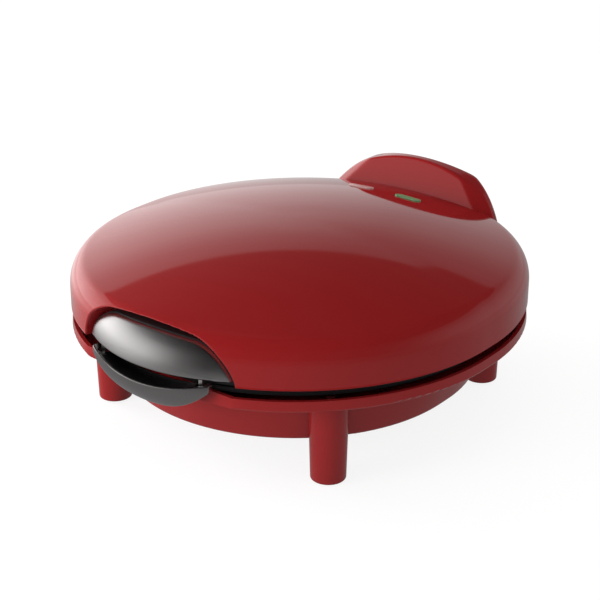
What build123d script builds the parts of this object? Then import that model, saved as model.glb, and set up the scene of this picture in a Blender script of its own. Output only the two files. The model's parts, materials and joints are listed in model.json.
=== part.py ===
"""Quesadilla maker: a round countertop cooker with a hinged lid and a latch under the handle.

The frame has +Z up and z = 0 on the table, the handle towards -Y and the hinge towards +Y.
All lengths are in millimetres.
"""
import os
from math import cos, radians, sin, sqrt

from build123d import *

# Plan of both housings: two half circles with a short straight stretch between them
housing_radius = 140.0
plan_shift = 4.7
handle_reach = 10.0
half_length = housing_radius + handle_reach

# Heights, from the table up
ground_clearance = 22.3
base_depth = 33.0
rim_height = 6.4
parting_gap = 6.5
lid_side_height = 29.2
crown_rise = 19.6
floor_z = ground_clearance
rim_low_z = floor_z + base_depth
rim_top_z = rim_low_z + rim_height
lid_low_z = rim_top_z + parting_gap
shoulder_z = lid_low_z + lid_side_height
crown_z = shoulder_z + crown_rise
parting_z = (rim_top_z + lid_low_z) / 2

# Moulded walls
wall = 2.5
seat_gap = 0.1
free_gap = 0.3

# Base housing outline
floor_inset = 30.4
neck_inset = 24.5
floor_radius = housing_radius - floor_inset
neck_radius = housing_radius - neck_inset
neck_drop = 5.0
floor_round = 3.0
rim_round = 1.6
rim_draft = 0.5
front_flat_inset = 7.4
front_flat_y = front_flat_inset - housing_radius

# Lid outline
shoulder_inset = 8.1
shoulder_radius = housing_radius - shoulder_inset
side_round = 17.6
side_straight = 14.4

# Legs and pads
leg_inset = 20.98
leg_angle = 44.286
leg_reach = housing_radius - leg_inset
leg_place = (leg_reach * cos(radians(leg_angle)), leg_reach * sin(radians(leg_angle)))
leg_top_radius = 11.9
leg_bottom_radius = 10.5
leg_edge_round = 1.2
pad_radius = 7.0
pad_thickness = 2.5
pad_stand = 0.6
leg_screw_out = 6.5

# Screws
screw_radius = 1.5
screw_play = 0.05
screw_head_radius = 2.9
screw_head_height = 2.0

# Cooking plates
plate_inset = 8.0
plate_radius = housing_radius - plate_inset
plate_flange = 2.8
plate_gap = 0.6
plate_skirt_step = 6.0
plate_back_step = 14.5
plate_skirt_radius = plate_radius - plate_skirt_step
plate_back_radius = plate_skirt_radius - plate_back_step
plate_edge_round = 1.0
heater_land = 4.0
heater_land_width = 12.0
boss_length = 10.2
plate_depth = 8.0
plate_floor = 3.5
pocket_inset = 17.0
pocket_radius = plate_radius - pocket_inset
hub_radius = 9.0
divider_width = 9.0
pocket_count = 6
pocket_round = 3.0
pocket_draft = 10.0

# Heating elements, one loop clamped in a groove of each plate
heater_inset = 27.5
heater_radius = plate_back_radius - heater_inset
heater_tube = 3.25
heater_open_angle = 44.0
heater_tail = 9.0
heater_bend = 6.0

# Heat shields
shield_inset = 11.5
shield_radius = plate_back_radius - shield_inset
shield_thickness = 0.8
shield_rim = 5.0
shield_step = 5.0

# Posts that carry the plates
post_inset = 17.5
post_place = plate_back_radius - post_inset
post_radius = 5.0
post_angles = (30.0, 150.0, 210.0, 330.0)
plate_boss_radius = 4.6
screw_reach = 6.0

# Hinge
knuckle_radius = 5.5
knuckle_width = 14.0
knuckle_gap = 0.4
knuckle_place = 40.0
hinge_pin_radius = 2.5
hinge_pin_play = 0.05
hinge_swing_gap = 0.8
hinge_y = half_length - knuckle_radius
hinge_z = parting_z

# Crest over the hinge
crest_rise = 5.4
crest_top_z = crown_z + crest_rise
crest_half_width = 69.0
crest_arc_half = 42.0
crest_arc_drop = 6.4
crest_foot_y = housing_radius - 20.2
crest_foot_z = shoulder_z + 1.6
crest_ridge_y = housing_radius - 10.5
crest_back_y = half_length - 2.0
crest_back_z = shoulder_z - 9.4
crest_plan_radius = housing_radius - 17.6
crest_low_z = lid_low_z + 4.4
crest_ridge_width = 4.0
crest_arc_side = (59.5, shoulder_z + 7.1)
crest_fold_foot = (49.5, housing_radius - 20.0, shoulder_z + 0.4)
crest_fold_top = (31.0, housing_radius - 10.8, crown_z + 2.0)
crest_bevel_end = (65.0, housing_radius - 13.0, shoulder_z - 0.4)

# Lights on the crown
lens_place = (18.9, housing_radius - 49.2)
lens_half_length = 9.5
lens_half_width = 3.2
lens_proud = 0.7
lens_flange = 1.5
lamp_radius = 2.6
lamp_length = 16.0

# Handle and latch, turned about one upright axis in front of the lid
grip_radius = 100.0
grip_axis_y = grip_radius - half_length
grip_top_z = shoulder_z - 6.1
grip_top_y = 14.6 - half_length
grip_lip_z = lid_low_z + 1.8
grip_lip_y = 3.0 - half_length
grip_half_width = 54.6
grip_arc_half = 30.0
grip_arc_drop = 1.4
grip_corner = (44.5, shoulder_z - 13.8)
grip_foot_z = lid_low_z + 1.3
grip_bulge = (5.8 - half_length, shoulder_z - 15.4)
pocket_low_z = lid_low_z - 8.2
pocket_length = 40.0
pocket_back_y = 15.0 - housing_radius
pocket_taper = 22.0
latch_top_z = rim_top_z + 0.3
latch_low_z = rim_low_z - 9.3
latch_low_y = 9.0 - half_length
latch_half_width = 44.6
latch_tip_z = lid_low_z + 0.2
latch_tip_depth = 4.4
latch_bulge = (1.5 - half_length, rim_low_z + 0.7)
hook_depth = 1.6
latch_back_y = 4.8 - housing_radius
latch_pivot_y = 12.6 - half_length
latch_pivot_z = rim_top_z + 1.8
latch_pin_radius = 1.0
latch_pin_length = 7.0
lug_place = 37.5
lug_width = 3.0
lug_radius = 1.9
lug_stem = 0.4
catch_width = 20.0
catch_reach = 2.0
catch_height = 3.0
catch_z = rim_low_z + 0.7

# Small parts inside
thermostat_radius = 8.5
thermostat_height = 8.0
thermostat_y = 32.0
fuse_radius = 2.0
fuse_length = 14.0
fuse_y = -30.0
clip_width = 5.0
clip_wall = 1.0
terminal_size = (34.0, 16.0, 12.0)
terminal_y = 78.0
terminal_hole = 2.0
terminal_pitch = 10.0
bracket_size = (78.0, 14.0, 2.0)
bracket_level = 96.0
bracket_stud_x = 34.0
bracket_stud_radius = 3.0
handle_screw_x = 25.0
handle_screw_z = 80.0
handle_screw_reach = 8.0

# Cord inlet
gland_z = 38.0
gland_radius = 6.0
gland_bore = 3.6
gland_flange = 8.5
gland_flange_thickness = 2.0

# Small base features
vent_ring_radius = 62.0
vent_count = 12
vent_length = 16.0
vent_width = 3.0
ear_root = 8.0
hinge_head = 1.6
leg_screw_low = 36.0

SIDES = (1, -1)
RIGHT_LEFT = ((1, "right"), (-1, "left"))
FRONT_REAR = ((-1, "front"), (1, "rear"))
side_plane = Plane.XZ.offset(plan_shift)
written = []


def keep(part, label):
    """Names a finished piece and writes it."""
    part.label = label
    export_step(part, f"parts/{label}.step")
    written.append(part)


def oval(section):
    """Carries a half section round the plan: half turns front and rear, a straight stretch between."""
    front_axis = Axis((0, -plan_shift, 0), (0, 0, 1))
    with BuildPart() as body:
        revolve(section, axis=front_axis, revolution_arc=-180)
        mirror(about=Plane.XZ)
        right = extrude(section, amount=-2 * plan_shift, mode=Mode.PRIVATE)
        left = mirror(right, about=Plane.YZ, mode=Mode.PRIVATE)
        add((right, left))
    return body.part


def half_section(points, rounds=()):
    """Makes a closed half section, x outwards and y up, with some corners rounded."""
    with BuildSketch(side_plane) as sketch:
        with BuildLine():
            Polyline(*points, close=True)
        make_face()
        for x, z, radius in rounds:
            corner = sketch.vertices().sort_by_distance((x, z, 0))[0]
            fillet(corner, radius)
    return sketch.sketch


def column(x, y, radius, low, high, top_radius=None):
    """An upright round column, straight or tapered."""
    with BuildPart() as body:
        with BuildSketch(Plane((x, y, low))):
            Circle(radius)
        if top_radius is None:
            extrude(amount=high - low)
        else:
            with BuildSketch(Plane((x, y, high))):
                Circle(top_radius)
            loft()
    return body.part


def rod(x_low, x_high, y, z, radius):
    """A round rod along X."""
    with BuildPart() as body:
        with BuildSketch(Plane.YZ.offset(x_low)):
            with Locations((y, z)):
                Circle(radius)
        extrude(amount=x_high - x_low)
    return body.part


def block(low, high):
    """A straight block between two corners."""
    with BuildPart() as body:
        with BuildSketch(Plane((0, 0, low[2]))):
            with Locations(((low[0] + high[0]) / 2, (low[1] + high[1]) / 2)):
                Rectangle(high[0] - low[0], high[1] - low[1])
        extrude(amount=high[2] - low[2])
    return body.part


def screw(x, y, head_z, length, direction):
    """A pan head screw on an upright axis: the head's seat at head_z, the shank along direction."""
    with BuildPart() as body:
        with BuildSketch(Plane((x, y, head_z))):
            Circle(screw_radius)
        extrude(amount=direction * length)
        with BuildSketch(Plane((x, y, head_z))):
            Circle(screw_head_radius)
        extrude(amount=-direction * screw_head_height)
    return body.part


def posts():
    """Places of the plate posts."""
    angles = [radians(angle) for angle in post_angles]
    return [(post_place * cos(angle), post_place * sin(angle)) for angle in angles]


def legs():
    """Places of the legs with their names."""
    return [
        (side * leg_place[0], end * leg_place[1], f"{end_name}_{side_name}")
        for end, end_name in FRONT_REAR
        for side, side_name in RIGHT_LEFT
    ]


def group(solids):
    """Several separate solids kept as one named piece."""
    return Compound(children=list(solids))


# Outer and inner skins of the base housing

base_outer_points = [
    (0, floor_z),
    (floor_radius, floor_z),
    (neck_radius, rim_low_z - neck_drop),
    (housing_radius, rim_low_z),
    (housing_radius - rim_draft, rim_top_z),
    (0, rim_top_z),
]
base_inner_points = [
    (0, floor_z + wall),
    (floor_radius - wall, floor_z + wall),
    (neck_radius - wall, rim_low_z - neck_drop + wall),
    (housing_radius - wall, rim_low_z + wall),
    (housing_radius - rim_draft - wall, rim_top_z + wall),
    (0, rim_top_z + wall),
]
base_outer = oval(
    half_section(
        base_outer_points,
        [(floor_radius, floor_z, floor_round), (housing_radius, rim_low_z, rim_round)],
    )
)
base_inner = oval(half_section(base_inner_points, [(floor_radius - wall, floor_z + wall, floor_round)]))
front_cut = block((-housing_radius, -2 * housing_radius, 0), (housing_radius, front_flat_y, 2 * crown_z))
base_inner = base_inner - block(
    (-housing_radius, -2 * housing_radius, 0), (housing_radius, front_flat_y + wall, 2 * crown_z)
)

# Heights of the pieces stacked inside, mirrored about the parting plane for the lid
plate_face = plate_gap / 2
plate_back = plate_face + plate_depth + plate_floor
heater_level = plate_back + heater_land
boss_end = plate_back + boss_length


def lower(z):
    """Height of a lower piece that lies z below the parting plane."""
    return parting_z - z


def make_lower_housing():
    """The base shell: rim band, drafted wall, floor with vents, plate posts and hinge ears."""
    with BuildPart() as lower_housing:
        add(base_outer)
        add(base_inner, mode=Mode.SUBTRACT)
        add(front_cut, mode=Mode.SUBTRACT)
        for x, y in posts():
            add(column(x, y, post_radius, floor_z + wall / 2, lower(boss_end + shield_thickness)))
        for x, y in posts():
            add(column(x, y, screw_radius + screw_play, 0, crown_z), mode=Mode.SUBTRACT)
            sink = column(x, y, screw_head_radius + seat_gap, 0, floor_z + screw_head_height)
            add(sink, mode=Mode.SUBTRACT)
        with BuildSketch(Plane.XY.offset(floor_z)):
            with PolarLocations(vent_ring_radius, vent_count):
                SlotOverall(vent_length, vent_width)
        extrude(amount=wall, mode=Mode.SUBTRACT)
        for side in SIDES:
            add(hinge_ear(side * knuckle_place))
            lid_x = side * (knuckle_place - knuckle_width - knuckle_gap)
            add(
                rod(
                    lid_x - knuckle_width / 2 - knuckle_gap,
                    lid_x + knuckle_width / 2 + knuckle_gap,
                    hinge_y,
                    hinge_z,
                    knuckle_radius + hinge_swing_gap,
                ),
                mode=Mode.SUBTRACT,
            )
        add(hinge_bore(), mode=Mode.SUBTRACT)
        for x, y, name in legs():
            out_x, out_y = leg_screw_place(x, y)
            add(column(out_x, out_y, screw_radius + screw_play, floor_z, rim_top_z), mode=Mode.SUBTRACT)
        with BuildSketch(Plane.XZ.offset(-floor_radius / 2)):
            with Locations((0, gland_z)):
                Circle(gland_radius + seat_gap)
        extrude(amount=-housing_radius, mode=Mode.SUBTRACT)
        half_slot = catch_width / 2 + seat_gap
        add(
            block(
                (-half_slot, front_flat_y - wall, catch_z - seat_gap),
                (half_slot, front_flat_y + 2 * wall, catch_z + catch_height + seat_gap),
            ),
            mode=Mode.SUBTRACT,
        )
    keep(lower_housing.part, "lower_housing")


def leg_screw_place(x, y):
    """The leg screw stands further out than the leg's own middle, clear of the wall."""
    reach = sqrt(x * x + y * y)
    return x * (1 + leg_screw_out / reach), y * (1 + leg_screw_out / reach)


def hinge_ear(x):
    """One ear of the base: a barrel on a bracket that grows out of the rim."""
    with BuildPart() as ear:
        with BuildSketch(Plane.YZ.offset(x - knuckle_width / 2)):
            with BuildLine():
                Polyline(
                    (hinge_y - knuckle_radius - ear_root, rim_top_z - wall),
                    (hinge_y - knuckle_radius, rim_top_z),
                    (hinge_y, hinge_z),
                    (hinge_y + knuckle_radius, hinge_z),
                    (hinge_y + knuckle_radius, rim_low_z + ear_root / 2),
                    (hinge_y - knuckle_radius, rim_low_z),
                    (hinge_y - knuckle_radius - ear_root, rim_low_z + wall / 2),
                    close=True,
                )
            make_face()
            with Locations((hinge_y, hinge_z)):
                Circle(knuckle_radius)
        extrude(amount=knuckle_width)
    return ear.part


def hinge_bore():
    """The bore through all the knuckles."""
    reach = knuckle_place + knuckle_width
    return rod(-reach, reach, hinge_y, hinge_z, hinge_pin_radius + hinge_pin_play)


def make_hinge_pins():
    """Two steel pins, each through one base ear and one lid ear, with a head outside."""
    for side, name in RIGHT_LEFT:
        inner = side * (knuckle_place - knuckle_width * 3 / 2 - 2 * knuckle_gap)
        outer = side * (knuckle_place + knuckle_width / 2)
        head = side * (knuckle_place + knuckle_width / 2 + hinge_head)
        with BuildPart() as hinge_pin:
            add(rod(min(inner, outer), max(inner, outer), hinge_y, hinge_z, hinge_pin_radius))
            add(rod(min(outer, head), max(outer, head), hinge_y, hinge_z, hinge_pin_radius + hinge_head))
        keep(hinge_pin.part, f"hinge_pin_{name}")


def make_legs():
    """Four tapered legs seated against the wall and under the rim, each with a soft pad."""
    screws = []
    for x, y, name in legs():
        out_x, out_y = leg_screw_place(x, y)
        with BuildPart() as leg:
            add(column(x, y, leg_bottom_radius, pad_stand, rim_low_z + wall, leg_top_radius))
            foot_edge = leg.faces().sort_by(Axis.Z)[0].edges()
            fillet(foot_edge, leg_edge_round)
            add(base_outer, mode=Mode.SUBTRACT)
            add(column(x, y, pad_radius + seat_gap, 0, pad_thickness), mode=Mode.SUBTRACT)
            add(column(out_x, out_y, screw_radius + screw_play, leg_screw_low, rim_top_z), mode=Mode.SUBTRACT)
        keep(leg.part.solids().sort_by(Axis.Z)[0], f"leg_{name}")
        keep(column(x, y, pad_radius, 0, pad_thickness), f"foot_pad_{name}")
        screws.append(screw(out_x, out_y, leg_screw_head_z(), leg_screw_head_z() - leg_screw_low, -1))
    keep(group(screws), "leg_screws")


def leg_screw_head_z():
    """Seat of the leg screws: the top of the rim's underside at their place."""
    reach = sqrt(leg_place[0] ** 2 + (leg_place[1] - plan_shift) ** 2) + leg_screw_out + screw_head_radius
    slope = neck_drop / (housing_radius - neck_radius)
    return rim_low_z - neck_drop + wall + slope * (reach - neck_radius + wall) + seat_gap


def plate_solid():
    """The lower cooking plate: oval flange and skirt, six wedge pockets, heater land and screw bosses."""
    face = lower(plate_face)
    back = lower(plate_back)
    points = [
        (0, face),
        (plate_radius, face),
        (plate_radius, face - plate_flange),
        (plate_skirt_radius, face - plate_flange),
        (plate_back_radius, back),
        (0, back),
    ]
    body = oval(half_section(points, [(plate_radius, face, plate_edge_round)]))
    flange_back = face - plate_flange
    with BuildPart() as plate:
        add(body)
        add(
            block(
                (-housing_radius, -2 * housing_radius, 0),
                (housing_radius, front_flat_y + wall, crown_z),
            ),
            mode=Mode.SUBTRACT,
        )
        add(
            block(
                (-housing_radius, -2 * housing_radius, 0),
                (housing_radius, pocket_back_y + wall + free_gap, flange_back),
            ),
            mode=Mode.SUBTRACT,
        )
        with BuildSketch(Plane.XY.offset(face)) as pockets:
            Circle(pocket_radius)
            Circle(hub_radius, mode=Mode.SUBTRACT)
            with PolarLocations(0, pocket_count // 2, start_angle=post_angles[0]):
                Rectangle(3 * pocket_radius, divider_width, mode=Mode.SUBTRACT)
            fillet(pockets.vertices(), pocket_round)
        extrude(amount=-plate_depth, taper=pocket_draft, mode=Mode.SUBTRACT)
        with BuildSketch(Plane.XY.offset(back)):
            Circle(heater_radius + heater_land_width / 2)
            Circle(heater_radius - heater_land_width / 2, mode=Mode.SUBTRACT)
        extrude(amount=-heater_land)
        for x, y in posts():
            add(column(x, y, plate_boss_radius, lower(boss_end), back + plate_floor / 2))
        with BuildSketch(Plane.XZ):
            with Locations((heater_radius, lower(heater_level))):
                Circle(heater_tube + seat_gap)
        revolve(axis=Axis.Z, mode=Mode.SUBTRACT)
    return plate.part


def heater_end(side, beyond, drop):
    """A point past one end of the heater's loop: beyond along its tangent and drop below its level."""
    angle = radians(side * heater_open_angle / 2)
    x = side * heater_radius * sin(abs(angle)) - side * beyond * cos(angle)
    y = -heater_radius * cos(angle) - beyond * sin(abs(angle))
    return x, y, lower(heater_level) - drop


def heater_solid():
    """One loop of sheathed tube, bent down into a short tail at each open end."""
    turn = heater_bend * (1 - sqrt(1 / 2)), heater_bend * sqrt(1 / 2)
    with BuildPart() as heater:
        with BuildLine() as path:
            for side in SIDES:
                ThreePointArc(
                    heater_end(side, 0, 0),
                    heater_end(side, turn[1], turn[0]),
                    heater_end(side, heater_bend, heater_bend),
                )
                Line(heater_end(side, heater_bend, heater_bend), heater_end(side, heater_bend, heater_tail))
            ThreePointArc(
                heater_end(1, 0, 0), (0, heater_radius, lower(heater_level)), heater_end(-1, 0, 0)
            )
        with BuildSketch(Plane(heater_end(1, heater_bend, heater_tail))):
            Circle(heater_tube)
        sweep(path=path.wires()[0])
    return heater.part


def shield_solid():
    """A dished sheet with a rolled edge, clamped between the posts and the plate bosses."""
    level = lower(boss_end)
    with BuildPart() as shield:
        with BuildSketch(Plane.XZ) as section:
            with BuildLine():
                Polyline(
                    (0, level),
                    (shield_radius, level),
                    (shield_radius + shield_step, level + shield_rim),
                    (shield_radius + shield_step + shield_thickness, level + shield_rim),
                    (shield_radius + shield_thickness, level - shield_thickness),
                    (0, level - shield_thickness),
                    close=True,
                )
            make_face()
        revolve(axis=Axis.Z)
        for x, y in posts():
            add(column(x, y, screw_radius + screw_play, 0, crown_z), mode=Mode.SUBTRACT)
        for side in SIDES:
            x, y, _ = heater_end(side, heater_bend, 0)
            add(column(x, y, heater_tube + plate_edge_round, 0, crown_z), mode=Mode.SUBTRACT)
    return shield.part


def in_lid(part):
    """The same piece turned over about the parting plane."""
    return mirror(part, about=Plane.XY.offset(parting_z), mode=Mode.PRIVATE)


def make_hot_parts():
    """Plates, heaters, shields and plate screws, lower and upper."""
    plate, heater, shield = plate_solid(), heater_solid(), shield_solid()
    with BuildPart() as lower_plate:
        add(plate)
        for x, y in posts():
            tip = lower(plate_back - screw_reach)
            add(column(x, y, screw_radius + screw_play, 0, tip), mode=Mode.SUBTRACT)
    with BuildPart() as upper_plate:
        add(in_lid(plate))
        for x, y in posts():
            seat = 2 * parting_z - lower(plate_face + screw_head_height + seat_gap)
            add(column(x, y, screw_radius + screw_play, 0, crown_z), mode=Mode.SUBTRACT)
            add(column(x, y, screw_head_radius + seat_gap, 0, seat), mode=Mode.SUBTRACT)
    keep(lower_plate.part, "lower_plate")
    keep(upper_plate.part, "upper_plate")
    keep(heater, "lower_heater")
    keep(in_lid(heater), "upper_heater")
    keep(shield, "lower_heat_shield")
    keep(in_lid(shield), "upper_heat_shield")
    base_seat = floor_z + screw_head_height
    base_length = lower(plate_back - screw_reach) - base_seat
    keep(group([screw(x, y, base_seat, base_length, 1) for x, y in posts()]), "lower_plate_screws")
    lid_seat = parting_z + plate_face + screw_head_height + seat_gap
    lid_length = parting_z + boss_end + screw_reach - lid_seat
    keep(group([screw(x, y, lid_seat, lid_length, 1) for x, y in posts()]), "upper_plate_screws")


def make_controls():
    """Thermostat, thermal fuse with its clip, terminal block, cord gland and latch catch."""
    back = lower(plate_back)
    with BuildPart() as thermostat:
        add(column(0, thermostat_y, thermostat_radius, back - thermostat_height, back))
        for side in SIDES:
            tab = side * (thermostat_radius + clip_width)
            add(
                block(
                    (min(0, tab), thermostat_y - clip_width / 2, back - clip_wall),
                    (max(0, tab), thermostat_y + clip_width / 2, back),
                )
            )
    keep(thermostat.part, "thermostat")
    fuse_z = back - fuse_radius - seat_gap - clip_wall / 2
    keep(rod(-fuse_length / 2, fuse_length / 2, fuse_y, fuse_z, fuse_radius), "thermal_fuse")
    with BuildPart() as fuse_clip:
        with BuildSketch(Plane.YZ.offset(-clip_width / 2)):
            with Locations((fuse_y, fuse_z)):
                Circle(fuse_radius + seat_gap + clip_wall)
            with Locations((fuse_y + 2 * clip_width, back - clip_wall / 2)):
                Rectangle(4 * clip_width, clip_wall)
            with Locations((fuse_y, back + clip_width)):
                Rectangle(4 * clip_width, 2 * clip_width, mode=Mode.SUBTRACT)
            with Locations((fuse_y, fuse_z)):
                Circle(fuse_radius + seat_gap, mode=Mode.SUBTRACT)
        extrude(amount=clip_width)
    keep(fuse_clip.part, "fuse_clip")
    length, width, height = terminal_size
    seat = floor_z + wall
    with BuildPart() as terminal_block:
        add(
            block(
                (-length / 2, terminal_y - width / 2, seat),
                (length / 2, terminal_y + width / 2, seat + height),
            )
        )
        top_edges = terminal_block.faces().sort_by(Axis.Z)[-1].edges()
        chamfer(top_edges, clip_wall)
        with BuildSketch(Plane.XY.offset(seat + height)):
            with Locations((0, terminal_y)):
                with GridLocations(terminal_pitch, 1, 3, 1):
                    Circle(terminal_hole)
        extrude(amount=-height / 2, mode=Mode.SUBTRACT)
    keep(terminal_block.part, "terminal_block")
    slope = (neck_radius - floor_radius) / (base_depth - neck_drop)
    wall_y = plan_shift + floor_radius + slope * (gland_z - floor_z)
    with BuildPart() as cord_gland:
        with BuildSketch(Plane.XZ.offset(-wall_y + wall)):
            with Locations((0, gland_z)):
                Circle(gland_flange)
        extrude(amount=-wall - gland_flange_thickness)
        add(base_outer, mode=Mode.SUBTRACT)
        with BuildSketch(Plane.XZ.offset(-wall_y + 2 * wall)):
            with Locations((0, gland_z)):
                Circle(gland_radius)
        extrude(amount=-2 * wall - gland_flange_thickness)
        with BuildSketch(Plane.XZ):
            with Locations((0, gland_z)):
                Circle(gland_bore)
        extrude(amount=-2 * housing_radius, mode=Mode.SUBTRACT)
    keep(cord_gland.part, "cord_gland")
    flange_y = front_flat_y + wall
    with BuildPart() as catch:
        add(
            block(
                (-catch_width / 2, front_flat_y - catch_reach, catch_z),
                (catch_width / 2, flange_y, catch_z + catch_height),
            )
        )
        nose = catch.faces().sort_by(Axis.Y)[0].edges().filter_by(Axis.X).sort_by(Axis.Z)[-1]
        chamfer(nose, catch_reach / 2)
        add(
            block(
                (-catch_width / 2 - wall, flange_y, catch_z - seat_gap),
                (catch_width / 2 + wall, flange_y + clip_wall, catch_z + catch_height + clip_wall),
            )
        )
    keep(catch.part, "catch")


# The lid's dome: a straight side, a rounded shoulder, a crease and a shallow crown

crown_radius = (shoulder_radius**2 + crown_rise**2) / (2 * crown_rise)
side_centre = (housing_radius - side_round, lid_low_z + side_straight)


def crown_height(r):
    """Height of the crown's outer skin at a distance from the middle."""
    return crown_z - crown_radius + sqrt(crown_radius**2 - r * r)


def crease(inset):
    """Where the side's arc meets the crown's arc, on a skin that lies inset inside the outer one."""
    cx, cz = side_centre
    side_r, crown_r = side_round - inset, crown_radius - inset
    dz = crown_z - crown_radius - cz
    reach = sqrt(cx * cx + dz * dz)
    along = (side_r**2 - crown_r**2 + reach**2) / (2 * reach)
    off = sqrt(side_r**2 - along**2)
    ux, uz = -cx / reach, dz / reach
    first = (cx + along * ux - off * uz, cz + along * uz + off * ux)
    second = (cx + along * ux + off * uz, cz + along * uz - off * ux)
    return max(first, second, key=lambda point: point[0])


def dome(inset, low):
    """The lid's outer solid, or its hollow, with its skin set in by inset."""
    cx, cz = side_centre
    end_x, end_z = crease(inset)
    side_r, crown_r, side_x = side_round - inset, crown_radius - inset, housing_radius - inset
    mid_x, mid_z = (cx + side_r + end_x) / 2 - cx, (cz + end_z) / 2 - cz
    stretch = side_r / sqrt(mid_x**2 + mid_z**2)
    half_x = end_x / 2
    half_z = crown_z - crown_radius + sqrt(crown_r**2 - half_x**2)
    with BuildSketch(side_plane) as section:
        with BuildLine():
            Polyline((0, crown_z - inset), (0, low), (side_x, low), (side_x, cz))
            ThreePointArc((side_x, cz), (cx + mid_x * stretch, cz + mid_z * stretch), crease(inset))
            ThreePointArc((end_x, end_z), (half_x, half_z), (0, crown_z - inset))
        make_face()
    return oval(section.sketch)


def crest(inset):
    """The arched hump over the hinge: a leaning front panel, two side bevels and a back round in plan."""
    plan_y = crest_back_y - crest_plan_radius
    ridge_end = crest_ridge_y + crest_ridge_width
    with BuildPart() as hump:
        with BuildSketch(Plane.YZ.offset(-crest_half_width)) as side:
            with BuildLine():
                Polyline(
                    (crest_ridge_y, crest_top_z + wall),
                    (crest_foot_y, crest_foot_z),
                    (crest_foot_y - wall, shoulder_z - wall),
                    (crest_foot_y - wall, crest_low_z),
                    (2 * half_length, crest_low_z),
                    (2 * half_length, crest_back_z),
                    (crest_back_y, crest_back_z),
                )
                ThreePointArc(
                    (crest_back_y, crest_back_z),
                    (crest_back_y - crest_ridge_width, (crest_back_z + crest_top_z) / 2 + crest_ridge_width),
                    (ridge_end, crest_top_z + wall),
                )
                Line((ridge_end, crest_top_z + wall), (crest_ridge_y, crest_top_z + wall))
            make_face()
            if inset > 0:
                offset(amount=-inset)
        extrude(amount=2 * crest_half_width)
        with BuildSketch(Plane.XZ.offset(-2 * half_length)) as front:
            with BuildLine():
                ThreePointArc(
                    (-crest_arc_half, crest_top_z - crest_arc_drop),
                    (0, crest_top_z),
                    (crest_arc_half, crest_top_z - crest_arc_drop),
                )
                ThreePointArc(
                    (crest_arc_half, crest_top_z - crest_arc_drop),
                    crest_arc_side,
                    (crest_half_width, crest_back_z),
                )
                Polyline(
                    (crest_half_width, crest_back_z),
                    (crest_half_width, crest_low_z),
                    (-crest_half_width, crest_low_z),
                    (-crest_half_width, crest_back_z),
                )
                ThreePointArc(
                    (-crest_half_width, crest_back_z),
                    (-crest_arc_side[0], crest_arc_side[1]),
                    (-crest_arc_half, crest_top_z - crest_arc_drop),
                )
            make_face()
            if inset > 0:
                offset(amount=-inset)
        extrude(amount=2 * half_length, mode=Mode.INTERSECT)
        add(column(0, plan_y, crest_plan_radius - inset, 0, 2 * crown_z), mode=Mode.INTERSECT)
        for side_sign in (1, -1):
            bevel = bevel_plane(side_sign, inset)
            split(bisect_by=bevel, keep=Keep.BOTTOM)
    return hump.part


def bevel_plane(side_sign, inset):
    """The plane of one side bevel, through its fold line and its outer foot, facing outwards."""
    foot = Vector(side_sign * crest_fold_foot[0], crest_fold_foot[1], crest_fold_foot[2])
    top = Vector(side_sign * crest_fold_top[0], crest_fold_top[1], crest_fold_top[2])
    outer = Vector(side_sign * crest_bevel_end[0], crest_bevel_end[1], crest_bevel_end[2])
    normal = (top - foot).cross(outer - foot).normalized()
    if normal.Y > 0:
        normal = normal * -1
    return Plane(origin=foot - normal * inset, z_dir=normal)


def grip_outline(grow):
    """The handle's front view: a low arch on a straight foot."""
    shoulder, foot = (grip_arc_half, grip_top_z - grip_arc_drop), (grip_half_width, grip_foot_z)
    with BuildSketch() as outline:
        with BuildLine():
            ThreePointArc((-shoulder[0], shoulder[1]), (0, grip_top_z), shoulder)
            ThreePointArc(shoulder, grip_corner, foot)
            Polyline(
                foot,
                (grip_half_width, pocket_low_z),
                (-grip_half_width, pocket_low_z),
                (-grip_half_width, grip_foot_z),
            )
            ThreePointArc(
                (-grip_half_width, grip_foot_z),
                (-grip_corner[0], grip_corner[1]),
                (-shoulder[0], shoulder[1]),
            )
        make_face()
        if grow > 0:
            offset(amount=grow)
    return outline.sketch


def pocket(grow):
    """The hollow for the handle in the lid's front, opening outwards, or the envelope of its walls."""
    plane = Plane.XZ.offset(-pocket_back_y - grow)
    with BuildPart() as hollow:
        with BuildSketch(plane):
            add(grip_outline(free_gap + grow))
        extrude(amount=pocket_length, taper=-pocket_taper)
    return hollow.part


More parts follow.
